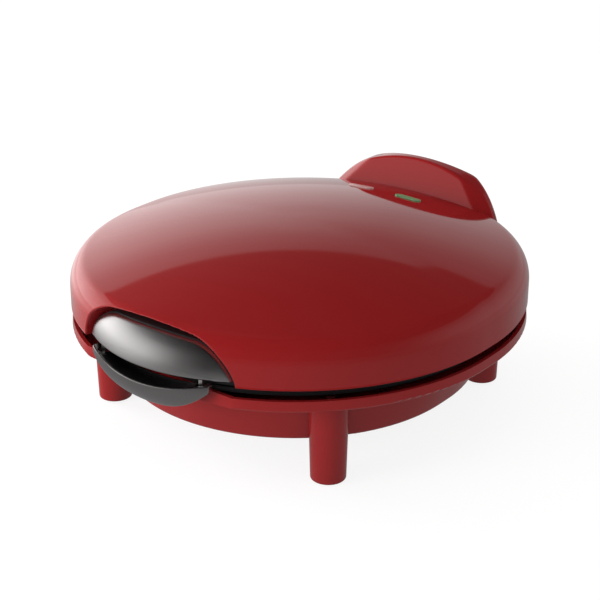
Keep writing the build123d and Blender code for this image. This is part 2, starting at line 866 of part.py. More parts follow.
def make_upper_housing():
    """The dome shell with the crest, the handle pocket, plate posts, lamp studs and hinge ears."""
    outer = dome(0, lid_low_z)
    hollow = dome(wall, lid_low_z - wall) + crest(wall)
    with BuildPart() as void:
        add(hollow)
        add(pocket(wall), mode=Mode.SUBTRACT)
    with BuildPart() as upper_housing:
        add(outer)
        add(crest(0))
        add(void.part, mode=Mode.SUBTRACT)
        add(pocket(0), mode=Mode.SUBTRACT)
        post_top = crown_height(post_place) - wall / 3
        for x, y in posts():
            add(column(x, y, post_radius, parting_z + boss_end + shield_thickness, post_top))
        for x, y in posts():
            bore_top = parting_z + boss_end + screw_reach + seat_gap
            add(column(x, y, screw_radius + screw_play, lid_low_z, bore_top), mode=Mode.SUBTRACT)
        stud_top = crown_height(lens_place[1]) - wall
        for side in SIDES:
            stud_x, stud_low = side * bracket_stud_x, bracket_level + bracket_size[2]
            add(column(stud_x, lens_place[1], bracket_stud_radius, stud_low, stud_top))
            add(lens_body(side, seat_gap), mode=Mode.SUBTRACT)
            lid_x = side * (knuckle_place - knuckle_width - knuckle_gap)
            add(lid_ear(lid_x))
            add(
                rod(
                    side * knuckle_place - knuckle_width / 2 - knuckle_gap,
                    side * knuckle_place + knuckle_width / 2 + knuckle_gap,
                    hinge_y,
                    hinge_z,
                    knuckle_radius + hinge_swing_gap,
                ),
                mode=Mode.SUBTRACT,
            )
        add(hinge_bore(), mode=Mode.SUBTRACT)
        with BuildSketch(Plane.XZ.offset(-pocket_back_y)):
            with Locations((handle_screw_x, handle_screw_z), (-handle_screw_x, handle_screw_z)):
                Circle(screw_radius + screw_play)
        extrude(amount=-2 * wall, mode=Mode.SUBTRACT)
    keep(upper_housing.part, "upper_housing")


def lid_ear(x):
    """One ear of the lid: a barrel on an arm that rises into the lid's rear wall."""
    with BuildPart() as ear:
        with BuildSketch(Plane.YZ.offset(x - knuckle_width / 2)):
            with Locations((hinge_y, hinge_z)):
                Circle(knuckle_radius)
            with BuildLine():
                Polyline(
                    (hinge_y + knuckle_radius, hinge_z),
                    (crest_back_y - wall / 2, crest_low_z + wall),
                    (hinge_y - knuckle_radius, crest_low_z + wall),
                    (hinge_y - knuckle_radius, hinge_z),
                    close=True,
                )
            make_face()
        extrude(amount=knuckle_width)
    return ear.part


def lens_body(side, grow):
    """A long lens through the crown: proud of the outer skin, with a flange under the inner one."""
    low = crown_height(lens_place[1] + lens_half_width) - wall - lens_flange - wall / 2
    with BuildPart() as body:
        with BuildSketch(Plane((side * lens_place[0], lens_place[1], low))):
            SlotOverall(2 * (lens_half_length + grow), 2 * (lens_half_width + grow))
        extrude(amount=crown_z - low)
        add(dome(-lens_proud - grow, 0), mode=Mode.INTERSECT)
    return body.part


def make_lights():
    """Two lenses in the crown, a neon lamp under each and the bracket that holds the lamps."""
    inner = dome(wall + seat_gap, 0)
    low = crown_height(lens_place[1] + lens_half_width) - wall - lens_flange - wall / 2
    for side, name in ((1, "ready_lens"), (-1, "power_lens")):
        with BuildPart() as lens:
            with BuildSketch(Plane((side * lens_place[0], lens_place[1], low))):
                SlotOverall(2 * (lens_half_length + lens_flange), 2 * (lens_half_width + lens_flange))
            extrude(amount=crown_z - low)
            add(inner, mode=Mode.INTERSECT)
            add(lens_body(side, 0))
        keep(lens.part, name)
    for side, name in RIGHT_LEFT:
        x, y = side * lens_place[0], lens_place[1]
        with BuildPart() as lamp:
            lamp_top = low - free_gap - lamp_radius
            add(column(x, y, lamp_radius, lamp_top - lamp_length + 2 * lamp_radius, lamp_top))
            with Locations((x, y, low - free_gap - lamp_radius)):
                Sphere(lamp_radius)
        keep(lamp.part, f"lamp_{name}")
    length, width, thickness = bracket_size
    with BuildPart() as lamp_bracket:
        with BuildSketch(Plane((0, lens_place[1], bracket_level))) as board:
            RectangleRounded(length, width, lens_half_width)
            with Locations((lens_place[0], 0), (-lens_place[0], 0)):
                Circle(lamp_radius + seat_gap, mode=Mode.SUBTRACT)
        extrude(amount=thickness)
    keep(lamp_bracket.part, "lamp_bracket")


def swept_front(points, bulge):
    """A solid turned about the grip's upright axis, with a bulged front between its top and its foot."""
    (top_y, top_z), (low_y, low_z) = points
    with BuildPart() as body:
        with BuildSketch(Plane.YZ) as section:
            with BuildLine():
                Polyline((low_y, low_z), (grip_axis_y, low_z), (grip_axis_y, top_z), (top_y, top_z))
                ThreePointArc((top_y, top_z), bulge, (low_y, low_z))
            make_face()
        revolve(axis=Axis((0, grip_axis_y, 0), (0, 0, 1)))
    return body.part


def make_handle():
    """The grip in the lid's pocket, with a cheek at each end for the latch pins, and its screws."""
    front = swept_front(((grip_top_y, grip_top_z + 1), (grip_lip_y, grip_lip_z)), grip_bulge)
    with BuildPart() as handle:
        with BuildSketch(Plane.XZ.offset(-pocket_back_y)):
            add(grip_outline(0))
        extrude(amount=half_length)
        add(front, mode=Mode.INTERSECT)
        for side in SIDES:
            low, high = lug_span(side, 0)
            add(
                block(
                    (low, latch_pivot_y - lug_stem, latch_pivot_z),
                    (high, latch_pivot_y + lug_radius, grip_lip_z + lug_radius),
                )
            )
            add(rod(low, high, latch_pivot_y, latch_pivot_z, lug_radius))
            low, high = latch_pin_span(side, seat_gap)
            bore_radius = latch_pin_radius + screw_play
            add(rod(low, high, latch_pivot_y, latch_pivot_z, bore_radius), mode=Mode.SUBTRACT)
        with BuildSketch(Plane.XZ.offset(-pocket_back_y)):
            with Locations((handle_screw_x, handle_screw_z), (-handle_screw_x, handle_screw_z)):
                Circle(screw_radius + screw_play)
        extrude(amount=handle_screw_reach + seat_gap, mode=Mode.SUBTRACT)
    keep(handle.part, "handle")
    screws = []
    for side in SIDES:
        seat = Plane.XZ.offset(-pocket_back_y - wall)
        with BuildPart() as handle_screw:
            with BuildSketch(seat):
                with Locations((side * handle_screw_x, handle_screw_z)):
                    Circle(screw_radius)
            extrude(amount=wall + handle_screw_reach)
            with BuildSketch(seat):
                with Locations((side * handle_screw_x, handle_screw_z)):
                    Circle(screw_head_radius)
            extrude(amount=-screw_head_height)
        screws.append(handle_screw.part)
    keep(group(screws), "handle_screws")


def lug_span(side, gap):
    """Both ends along X of one handle lug, or of the latch's notch for it, with a gap at each side."""
    half = lug_width / 2 + gap
    return side * lug_place - half, side * lug_place + half


def latch_pin_span(side, gap):
    """Both ends along X of one latch pin, or of its bore, with a gap at each end."""
    half = latch_pin_length / 2 + gap
    return side * lug_place - half, side * lug_place + half


def make_latch():
    """The dark lip under the finger slot: a crescent with a bulged front, a hook and two knuckles."""
    front = swept_front(((-half_length, latch_tip_z), (latch_low_y, latch_low_z)), latch_bulge)
    half, tip_low = latch_half_width, latch_tip_z - latch_tip_depth
    with BuildPart() as latch:
        with BuildSketch(Plane.XZ.offset(-latch_back_y)):
            with BuildLine():
                ThreePointArc((-half, latch_tip_z), (0, latch_top_z), (half, latch_tip_z))
                Line((half, latch_tip_z), (half, tip_low))
                ThreePointArc((half, tip_low), (0, latch_low_z), (-half, tip_low))
                Line((-half, tip_low), (-half, latch_tip_z))
            make_face()
        extrude(amount=half_length)
        add(front, mode=Mode.INTERSECT)
        add(
            block(
                (-catch_width / 2 - wall, latch_back_y - hook_depth, catch_z - free_gap),
                (catch_width / 2 + wall, latch_back_y, 2 * latch_tip_z),
            ),
            mode=Mode.SUBTRACT,
        )
        for side in SIDES:
            low, high = lug_span(side, knuckle_gap)
            add(
                block(
                    (low, latch_pivot_y - lug_radius - free_gap, latch_pivot_z),
                    (high, latch_back_y + wall, 2 * latch_tip_z),
                ),
                mode=Mode.SUBTRACT,
            )
            add(rod(low, high, latch_pivot_y, latch_pivot_z, lug_radius + free_gap), mode=Mode.SUBTRACT)
            low, high = latch_pin_span(side, seat_gap)
            bore_radius = latch_pin_radius + screw_play
            add(rod(low, high, latch_pivot_y, latch_pivot_z, bore_radius), mode=Mode.SUBTRACT)
    keep(latch.part, "latch")
    pins = []
    for side in SIDES:
        pins.append(rod(*latch_pin_span(side, 0), latch_pivot_y, latch_pivot_z, latch_pin_radius))
    keep(group(pins), "latch_pins")


def main():
    """Builds and writes every piece."""
    os.makedirs("parts", exist_ok=True)
    make_lower_housing()
    make_legs()
    make_hinge_pins()
    make_hot_parts()
    make_controls()
    make_upper_housing()
    make_lights()
    make_handle()
    make_latch()
    print(f"{len(written)} pieces, crown at {crown_z:.1f} mm, hinge at {hinge_y:.1f}, {hinge_z:.1f} mm")


main()
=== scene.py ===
"""Dresses the quesadilla maker: glossy red mouldings, a satin grip, a dark latch and black plates."""
import json
import math

import bpy
import numpy as np
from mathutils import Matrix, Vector


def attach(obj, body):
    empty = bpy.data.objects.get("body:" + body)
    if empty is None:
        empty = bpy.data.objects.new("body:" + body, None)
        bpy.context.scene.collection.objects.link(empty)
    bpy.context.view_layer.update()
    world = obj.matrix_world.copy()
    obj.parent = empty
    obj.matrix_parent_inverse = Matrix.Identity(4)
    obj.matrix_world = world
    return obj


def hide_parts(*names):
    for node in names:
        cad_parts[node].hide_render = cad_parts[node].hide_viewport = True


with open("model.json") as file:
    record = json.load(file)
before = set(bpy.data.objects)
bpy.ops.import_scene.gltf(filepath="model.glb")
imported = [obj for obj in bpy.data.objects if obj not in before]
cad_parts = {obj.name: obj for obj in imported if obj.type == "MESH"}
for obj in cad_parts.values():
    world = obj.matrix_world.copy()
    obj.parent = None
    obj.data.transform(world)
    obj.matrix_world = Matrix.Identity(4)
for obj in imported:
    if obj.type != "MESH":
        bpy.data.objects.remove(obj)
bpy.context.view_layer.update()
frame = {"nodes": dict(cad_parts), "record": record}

MM = 0.001
WALL = 2.5

# Lid outline, in millimetres like every size below
PLAN_RADIUS = 140.0
PLAN_SHIFT = 4.7
SHIFT_RADIUS = 20.0
LID_LOW = 68.2
LID_SIDE_TOP = 82.6
SIDE_ROUND = 17.6
CREASE = (131.9, 97.4)
CROWN_TOP = 117.0
CROWN_RADIUS = (CREASE[0] ** 2 + (CROWN_TOP - CREASE[1]) ** 2) / (2 * (CROWN_TOP - CREASE[1]))
CREASE_PASSES = 8
FRONT_COLUMNS, REAR_COLUMNS = 400, 240
FRONT_SPREAD = ((0.0, 0.13, 0.87, 1.0), (0.0, 0.33, 0.67, 1.0))
SHOULDER_POINTS, CROWN_POINTS = 24, 120

# Hinge at (Y, Z): the base's barrels, which the lid's rear edge clears, and the lid's own, each on an arm
HINGE = (144.5, 64.95)
KNUCKLE_RADIUS = 5.5
KNUCKLE_WIDTH = 14.0
EAR_PLACE = 40.0
LID_EAR_PLACE = 25.6
EAR_GAP = 0.8
LID_ARM = (146.75, 75.1)

# Grip and the pocket behind it. The front is turned about an upright axis at GRIP_AXIS_Y from a (radius, Z)
# section, and the outline is the front view's as (X, Z). The gap is how far the pocket's foot lies outside the
# outline, the inset how far the grip's lies inside it.
GRIP_AXIS_Y = -50.0
GRIP_BACK = -125.05
GRIP_FRONT = ((85.4, 92.3), (94.2, 82.0), (97.0, 70.0))
GRIP_TOP = ((-30.0, 89.9), (0.0, 91.3), (30.0, 89.9))
GRIP_SHOULDER = ((30.0, 89.9), (44.5, 83.6), (54.6, 69.5))
POCKET_FOOT = 60.0
POCKET_BACK = -125.0
POCKET_SLOPE = math.tan(math.radians(22.0))
POCKET_GAP = 0.3
POCKET_ROUND = 0.5
POCKET_FRONT_Y = -90.0
POCKET_SPAN = (90.0, 110.0)
POCKET_FAR = 40.0
GRIP_INSET = 0.4

# Dark rim round the grip, a painted shade for the gap: past its outline, and behind its front
SHADE_RIM_WIDTH = 0.65
SHADE_RIM_DEPTH = 1.2

# Latch, turned about the same axis, with tips at (X, upper Z, lower Z) and its pivot at (Y, Z), and the grip's two
# lugs that hold it
LATCH_FRONT = ((100.0, 68.4), (98.5, 56.0), (91.0, 46.0))
LATCH_BACK = -135.2
LATCH_TIP = (44.6, 68.4, 64.0)
LATCH_TOP, LATCH_BOTTOM = 62.0, 46.0
PIVOT = (-137.4, 63.5)
LUG_PLACE = 37.5
LUG_HALF = 1.5
LUG_RADIUS = 1.9
LUG_STEM = (-137.8, -135.5)
LUG_TOP = 71.8
NOTCH_FRONT = -140.3
NOTCH_EDGE = (1.8, 0.9)

# Crest over the hinge: the back's round in plan as (middle Y, radius) and in section as (Y, Z), the panel's lean,
# the bevel's plane, the least Y of the front above and below CREST_HIDDEN_Z (the foot is hidden inside the lid),
# and the front view as (X, Z)
CREST_PLAN = (25.6, 122.4)
CREST_BACK = ((148.0, 88.0), (144.0, 109.2), (133.5, 124.9))
CREST_LEAN = ((119.8, 99.0), (129.5, 124.9))
CREST_BEVEL = ((54.0, 119.5, 97.8), (37.5, 129.2, 119.0), (66.0, 127.0, 97.0))
CREST_HIDDEN = (112.0, 135.5)
CREST_THINNEST = 5.0
CREST_ROUND = 2.0
CREST_BEVEL_ROUND = 1.2
CREST_HIDDEN_Z = (90.0, 80.0)
CREST_TOP = ((-40.0, 114.9), (0.0, 122.4), (40.0, 114.9))
CREST_SIDE = ((40.0, 114.9), (57.2, 102.9), (68.2, 88.0))
CREST_FOOT = (69.0, 72.6)

# Rings of a slab from its middle to its edge, round the edge and, as shares of half its thickness, along the wall.
# It keeps a least thickness, and an edge turns in by at most a share of half of it.
SLAB_RINGS = 48
EDGE_RINGS = 7
WALL_SHARES = (-0.35, 0.35)
THINNEST = 0.04
MOST_TURNED = 0.98

# Nodes shown as they are: points this near (in metres) are one, and edges past this angle stay sharp
WELD_DISTANCE = 0.00001
SHARP_ANGLE = math.radians(40.0)


def smooth_max(a, b, radius):
    """The larger of two fields, with the corner between them rounded to about the radius."""
    h = np.clip(0.5 + 0.5 * (a - b) / radius, 0.0, 1.0)
    return b + (a - b) * h + radius * h * (1.0 - h)


def smooth_min(a, b, radius):
    """The smaller of two fields, rounded in the same way."""
    return -smooth_max(-a, -b, radius)


def smooth_step(low, high, value):
    """0 at low, 1 at high and an S curve between."""
    t = np.clip((value - low) / (high - low), 0.0, 1.0)
    return t * t * (3.0 - 2.0 * t)


def arc(first, middle, last, count):
    """Points of the arc that runs through three points."""
    (ax, ay), (bx, by), (cx, cy) = first, middle, last
    d = 2.0 * (ax * (by - cy) + bx * (cy - ay) + cx * (ay - by))
    aa, bb, cc = ax * ax + ay * ay, bx * bx + by * by, cx * cx + cy * cy
    ux = (aa * (by - cy) + bb * (cy - ay) + cc * (ay - by)) / d
    uy = (aa * (cx - bx) + bb * (ax - cx) + cc * (bx - ax)) / d
    start, way, end = (math.atan2(y - uy, x - ux) for x, y in (first, middle, last))
    turn = (end - start) % (2.0 * math.pi)
    if (way - start) % (2.0 * math.pi) > turn:
        turn -= 2.0 * math.pi
    angle = start + turn * np.linspace(0.0, 1.0, count)
    radius = math.hypot(ax - ux, ay - uy)
    return np.stack([ux + radius * np.cos(angle), uy + radius * np.sin(angle)], axis=-1)


def spaced(profile, steps):
    """A profile's points spread along its length, with steps as (from this length, step) pairs."""
    length = np.concatenate([[0.0], np.cumsum(np.linalg.norm(np.diff(profile, axis=0), axis=1))])
    starts = [start for start, _ in steps] + [length[-1]]
    runs = zip(starts, starts[1:], steps)
    at = [np.linspace(a, b, max(int((b - a) / step), 2), endpoint=False) for a, b, (_, step) in runs]
    at = np.concatenate([*at, [length[-1]]])
    return np.stack([np.interp(at, length, profile[:, k]) for k in (0, 1)], axis=-1)


def softened(profile, passes):
    """A profile whose corners are eased by averaging each point with its neighbours."""
    eased = profile.copy()
    for _ in range(passes):
        eased[1:-1] = 0.25 * eased[:-2] + 0.5 * eased[1:-1] + 0.25 * eased[2:]
    return eased


def closed_outline(pieces, step, passes):
    """A closed outline from runs of points, spread evenly, counter-clockwise, its corners eased in passes."""
    points = np.concatenate([np.asarray(run, float) for run in pieces])
    points = points[np.linalg.norm(points - np.roll(points, 1, axis=0), axis=1) > 1e-6]
    x, y = points.T
    if np.sum(x * np.roll(y, -1) - np.roll(x, -1) * y) < 0.0:
        points = points[::-1]
    ring = np.concatenate([points, points[:1]])
    length = np.concatenate([[0.0], np.cumsum(np.linalg.norm(np.diff(ring, axis=0), axis=1))])
    at = np.linspace(0.0, length[-1], int(length[-1] / step), endpoint=False)
    even = np.stack([np.interp(at, length, ring[:, k]) for k in (0, 1)], axis=-1)
    for _ in range(passes):
        even = 0.25 * np.roll(even, 1, axis=0) + 0.5 * even + 0.25 * np.roll(even, -1, axis=0)
    return even


def outward(outline):
    """Unit normals of a counter-clockwise outline."""
    along = np.roll(outline, -1, axis=0) - np.roll(outline, 1, axis=0)
    along /= np.linalg.norm(along, axis=1, keepdims=True)
    return np.stack([along[:, 1], -along[:, 0]], axis=-1)


def distance_outside(points, outline):
    """Distance from points to a closed outline, and 0 inside it."""
    start, end = outline, np.roll(outline, -1, axis=0)
    run = end - start
    nearest = np.full(len(points), np.inf)
    crossings = np.zeros(len(points), int)
    for (sx, sy), (dx, dy) in zip(start, run):
        x, y = points[:, 0] - sx, points[:, 1] - sy
        t = np.clip((x * dx + y * dy) / (dx * dx + dy * dy), 0.0, 1.0)
        nearest = np.minimum(nearest, np.hypot(x - t * dx, y - t * dy))
        if abs(dy) > 1e-12:
            spans = (y >= min(0.0, dy)) & (y < max(0.0, dy))
            crossings += spans & (x < dx * y / dy)
    return np.where(crossings % 2 == 1, 0.0, nearest)


def add_mesh(name, points, faces, material, body):
    """Links a mesh of points in millimetres, with its material, as a piece of a body."""
    mesh = bpy.data.meshes.new(name)
    mesh.from_pydata((np.asarray(points) * MM).tolist(), [], faces)
    mesh.shade_smooth()
    mesh.materials.append(material)
    piece = bpy.data.objects.new(name, mesh)
    bpy.context.scene.collection.objects.link(piece)
    make_outward(mesh)
    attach(piece, body)
    return piece


def make_outward(mesh):
    """Turns a closed mesh's faces outwards if its signed volume says that they point in."""
    mesh.calc_loop_triangles()
    corners = np.empty(len(mesh.loop_triangles) * 3, np.int32)
    mesh.loop_triangles.foreach_get("vertices", corners)
    points = np.empty(len(mesh.vertices) * 3, np.float32)
    mesh.vertices.foreach_get("co", points)
    a, b, c = points.reshape(-1, 3)[corners.reshape(-1, 3)].transpose(1, 0, 2).astype(float)
    if np.einsum("ij,ij->", a, np.cross(b, c)) < 0.0:
        mesh.flip_normals()


def grid_faces(rows, columns):
    """Quads of rows of points that each close on themselves; vertex (i, j) is i * columns + j."""
    i, j = np.meshgrid(np.arange(rows - 1), np.arange(columns), indexing="ij")
    across = (j + 1) % columns
    quads = [i * columns + j, i * columns + across, (i + 1) * columns + across, (i + 1) * columns + j]
    return np.stack(quads, axis=-1).reshape(-1, 4).tolist()


def stacked(name, rows, first_pole, last_pole, material, body, slot):
    """A closed mesh of closed rows of points, with a pole at each end."""
    count, columns = rows.shape[:2]
    points = np.concatenate([rows.reshape(-1, 3), [first_pole, last_pole]])
    faces = grid_faces(count, columns)
    last = (count - 1) * columns
    for j in range(columns):
        k = (j + 1) % columns
        faces.append([k, j, count * columns])
        faces.append([last + j, last + k, count * columns + 1])
    return add_mesh(name, points, faces, material, body)


def slab(name, outline, faces_at, rounds, lay, material, body, slot):
    """A closed solid between two faces over an outline in (u, v), with rounded edges.

    faces_at gives the front and back depth at (u, v), rounds the two edge radii, and lay turns u, v and depth
    into x, y and z. The rings run from the middle of the front over its edge, along the wall and back in.
    """
    normals, middle = outward(outline), outline.mean(axis=0)
    fill = np.linspace(0.0, 1.0, SLAB_RINGS)[1:-1]
    turn = np.linspace(0.0, 0.5 * math.pi, EDGE_RINGS)
    sides = []
    for share, radius in zip((-1.0, 1.0), rounds):
        inner = outline - normals * radius
        edge = [(radius * (1.0 - math.sin(a)), radius * (1.0 - math.cos(a))) for a in turn]
        face_rings = [(middle + (inner - middle) * f, 0.0, share) for f in fill]
        edge_rings = [(outline - normals * inset, tuck, share) for inset, tuck in edge]
        sides.append(face_rings + edge_rings)
    walls = [(outline, 0.0, share) for share in WALL_SHARES]
    rings = []
    for ring, tuck, share in sides[0] + walls + sides[1][::-1]:
        front, back = faces_at(*ring.T)
        half = 0.5 * np.maximum(back - front, THINNEST)
        depth = 0.5 * (front + back) + (half - np.minimum(tuck, half * MOST_TURNED)) * share
        rings.append(lay(*ring.T, depth))
    rows = np.array(rings).transpose(0, 2, 1)
    ends = faces_at(*middle[:, None])
    poles = [np.array(lay(*middle[:, None], depth)).ravel() for depth in ends]
    return stacked(name, rows, *poles, material, body, slot)


def constant_faces(ends):
    """Two flat ends of a slab."""
    return lambda u, v: (np.full(u.shape, ends[0]), np.full(u.shape, ends[1]))


def upright(x, z, y):
    """A front view's outline: u is X and v is Z."""
    return x, y, z


def sideways(y, z, x):
    """A side view's outline: u is Y and v is Z."""
    return x + 0.0 * y, y, z


def plan_columns():
    """Directions round the plan as cosines, sines and Y shifts, close together where the pocket is."""
    front = math.pi + np.interp(np.linspace(0.0, 1.0, FRONT_COLUMNS), *FRONT_SPREAD) * math.pi
    rear = np.linspace(0.0, math.pi, REAR_COLUMNS)
    angle = np.concatenate([front, rear])
    shift = np.concatenate([np.full(len(front), -PLAN_SHIFT), np.full(len(rear), PLAN_SHIFT)])
    return np.cos(angle), np.sin(angle), shift


def lid_profile(inset):
    """Half section of a lid skin from its lower edge to its pole: side, shoulder arc, crease and crown arc."""
    centre = (PLAN_RADIUS - SIDE_ROUND, LID_SIDE_TOP)
    angle = math.atan2(CREASE[1] - centre[1], CREASE[0] - centre[0])
    around = np.linspace(0.0, angle, SHOULDER_POINTS)
    radius = SIDE_ROUND - inset
    shoulder = np.stack([centre[0] + radius * np.cos(around), centre[1] + radius * np.sin(around)], axis=-1)
    reach = np.linspace(CREASE[0] - 0.8 * inset, 0.0, CROWN_POINTS)
    level = CROWN_TOP - CROWN_RADIUS + np.sqrt((CROWN_RADIUS - inset) ** 2 - reach**2)
    crown = np.stack([reach, level], axis=-1)
    low = np.array([[PLAN_RADIUS - inset, LID_LOW]])
    return np.concatenate([low, shoulder[:-1], crown])


def grip_outline(grow):
    """The grip's front view, grown by a gap and carried on below its foot for the pocket."""
    shoulder, top = arc(*GRIP_SHOULDER, 30), arc(*GRIP_TOP, 20)
    corner_x, corner_z = GRIP_SHOULDER[2]
    foot = [(corner_x, POCKET_FOOT), (-corner_x, POCKET_FOOT)] if grow > 0.0 else [(-corner_x, corner_z)]
    outline = closed_outline([top, shoulder, foot, shoulder[::-1] * [-1.0, 1.0]], 0.8, 4)
    return outline + outward(outline) * grow


def pocket_y(x, z, grow):
    """Y of the pocket's skin: a flat back, and walls that slope out from the grip's outline."""
    away = np.zeros(x.shape)
    near = (np.abs(x) < POCKET_SPAN[0]) & (z < POCKET_SPAN[1])
    away[near] = distance_outside(np.stack([x[near], z[near]], axis=-1), grip_outline(POCKET_GAP + grow))
    away[~near] = POCKET_FAR
    return POCKET_BACK + grow - away / POCKET_SLOPE


def lid_skin(profile, grow):
    """One skin of the lid: its half section carried round the plan and pushed back in the handle pocket."""
    cosine, sine, shift = plan_columns()
    radius, level = profile[:, :1], profile[:, 1:]
    x = radius * cosine
    y = radius * sine + shift * np.minimum(radius / SHIFT_RADIUS, 1.0)
    z = np.broadcast_to(level, x.shape).copy()
    front = y < POCKET_FRONT_Y
    y[front] = smooth_max(y[front], pocket_y(x[front], z[front], grow), POCKET_ROUND)
    beside = np.abs(np.abs(x) - EAR_PLACE)
    reach = 0.5 * KNUCKLE_WIDTH + 0.5
    notch = HINGE[1] + KNUCKLE_RADIUS + EAR_GAP - LID_LOW
    z += np.where((y > 100.0) & (beside < reach), notch * np.clip(1.0 - (z - LID_LOW) / (2.0 * notch), 0.0, 1.0), 0.0)
    return np.stack([x, y, z], axis=-1)


def make_lid_shell(material):
    """The dome: an outer and an inner skin that meet at the lower edge, each with its pole."""
    outer = spaced(lid_profile(0.0), [(0.0, 0.8), (40.0, 3.0)])
    outer = softened(outer, CREASE_PASSES)
    lip = np.array([[PLAN_RADIUS - 0.9, LID_LOW], [PLAN_RADIUS - 0.3, LID_LOW + 0.2]])
    outer[0] = (PLAN_RADIUS, LID_LOW + 0.8)
    inner = spaced(lid_profile(WALL), [(0.0, 5.0)])
    rows = np.concatenate([
        lid_skin(inner[::-1], WALL)[1:],
        lid_skin(lip, 0.0),
        lid_skin(outer[:-1], 0.0),
    ])
    return stacked(
        "lid_shell", rows, (0.0, 0.0, CROWN_TOP - WALL), (0.0, 0.0, CROWN_TOP), material, "lid", "red_gloss"
    )


def crest_faces(x, z):
    """Front and back of the crest: a leaning panel between two bevels, and a back round in plan and in section."""
    (foot_y, foot_z), (top_y, top_z) = CREST_LEAN
    lean = foot_y + (z - foot_z) * (top_y - foot_y) / (top_z - foot_z)
    a, b, c = (np.array(p) for p in CREST_BEVEL)
    normal = np.cross(b - a, c - a)
    bevel = a[1] - (normal[0] * (np.abs(x) - a[0]) + normal[2] * (z - a[2])) / normal[1]
    hidden = CREST_HIDDEN[0] + (CREST_HIDDEN[1] - CREST_HIDDEN[0]) * smooth_step(*CREST_HIDDEN_Z, z)
    front = np.maximum(smooth_max(lean, bevel, CREST_BEVEL_ROUND), hidden)
    plan = CREST_PLAN[0] + np.sqrt(np.maximum(CREST_PLAN[1] ** 2 - x * x, 0.0))
    section = arc(*CREST_BACK, 40)
    back = np.interp(z, section[:, 1], section[:, 0])
    back = smooth_min(plan, back, CREST_ROUND)
    return smooth_min(front, back - CREST_THINNEST, CREST_ROUND), back


def make_crest(material):
    """The arched hump over the hinge."""
    top, side = arc(*CREST_TOP, 40), arc(*CREST_SIDE, 30)
    foot_x, foot_z = CREST_FOOT
    low = [(foot_x, foot_z), (-foot_x, foot_z)]
    outline = closed_outline([top, side, low, side[::-1] * [-1.0, 1.0]], 0.8, 9)
    return slab("crest", outline, crest_faces, (1.4, 2.2), upright, material, "lid", "red_gloss")


def turned_front(section, x, z):
    """Y of a front turned about the upright axis, from its section as (radius, height) points."""
    curve = arc(*section, 60)
    curve = curve[np.argsort(curve[:, 1])]
    radius = np.interp(z, curve[:, 1], curve[:, 0])
    return GRIP_AXIS_Y - np.sqrt(radius**2 - x * x)


def grip_faces(x, z):
    """Front and back of the grip."""
    return turned_front(GRIP_FRONT, x, z), np.full(x.shape, GRIP_BACK)


def latch_faces(x, z):
    """Front and back of the latch, with a notch at the back for each lug."""
    away = np.maximum(np.abs(np.abs(x) - LUG_PLACE) - LUG_HALF, PIVOT[1] - LUG_RADIUS - z)
    back = LATCH_BACK + (NOTCH_FRONT - LATCH_BACK) * smooth_step(*NOTCH_EDGE, away)
    return turned_front(LATCH_FRONT, x, z), back


def make_grip(material):
    """The grip in the lid's pocket."""
    return slab("grip", grip_outline(-GRIP_INSET), grip_faces, (1.3, 0.3), upright, material, "lid", "grip_silver")


def make_painted_gap_shade(material):
    """Painted shade of the gap over the grip: a dark rim a little behind its front edge, wider than it at the top and
    the sides.
    """

    def faces(x, z):
        front, back = grip_faces(x, z)
        return front + SHADE_RIM_DEPTH, back

    ring = grip_outline(-GRIP_INSET)
    normals = outward(ring)
    outline = ring + normals * SHADE_RIM_WIDTH * smooth_step(-0.3, 0.2, normals[:, 1:])
    return slab("grip_gap_painted_shade", outline, faces, (0.2, 0.2), upright, material, "lid", "dark_plastic")


def make_latch(material):
    """The dark crescent under the finger slot."""
    tip_x, tip_z, tip_low = LATCH_TIP
    top = arc((-tip_x, tip_z), (0.0, LATCH_TOP), (tip_x, tip_z), 60)
    low = arc((tip_x, tip_low), (0.0, LATCH_BOTTOM), (-tip_x, tip_low), 60)
    outline = closed_outline([top, low], 0.6, 4)
    return slab("latch_lip", outline, latch_faces, (1.0, 0.5), upright, material, "latch", "latch_grey")


def make_lugs(material):
    """The grip's two lugs, each round below about the latch's pin, with a straight stem up into the grip."""
    around = np.linspace(math.pi, 2.0 * math.pi, 30)
    pin_y, pin_z = PIVOT
    low = np.stack([pin_y + LUG_RADIUS * np.cos(around), pin_z + LUG_RADIUS * np.sin(around)], axis=-1)
    front, back = LUG_STEM
    stem = [(back, pin_z + 0.5), (back, LUG_TOP), (front, LUG_TOP), (front, pin_z + 1.8)]
    outline = closed_outline([low, stem, [(pin_y - 1.6, pin_z + 0.9)]], 0.25, 2)
    for side, name in ((1.0, "right"), (-1.0, "left")):
        ends = (side * LUG_PLACE - LUG_HALF, side * LUG_PLACE + LUG_HALF)
        slab(f"lug_{name}", outline, constant_faces(ends), (0.3, 0.3), sideways, material, "lid", "grip_silver")


def make_lid_ears(material):
    """The lid's two hinge ears: a barrel on an arm that rises into the crest's back."""
    around = np.linspace(0.0, 2.0 * math.pi, 72, endpoint=False)
    pin_y, pin_z = HINGE
    ring = np.stack([pin_y + KNUCKLE_RADIUS * np.cos(around), pin_z + KNUCKLE_RADIUS * np.sin(around)], axis=-1)
    low = ring[ring[:, 1] <= pin_z + 0.01]
    low = low[np.argsort(np.arctan2(low[:, 1] - pin_z, low[:, 0] - pin_y))]
    arm = [(pin_y + KNUCKLE_RADIUS, pin_z), LID_ARM, (pin_y - KNUCKLE_RADIUS, LID_ARM[1])]
    outline = closed_outline([low, arm, [(pin_y - KNUCKLE_RADIUS, pin_z)]], 0.4, 2)
    for side, name in ((1.0, "right"), (-1.0, "left")):
        ends = (side * LID_EAR_PLACE - 0.5 * KNUCKLE_WIDTH, side * LID_EAR_PLACE + 0.5 * KNUCKLE_WIDTH)
        slab(f"lid_ear_{name}", outline, constant_faces(ends), (0.4, 0.4), sideways, material, "lid", "red_gloss")


# Materials


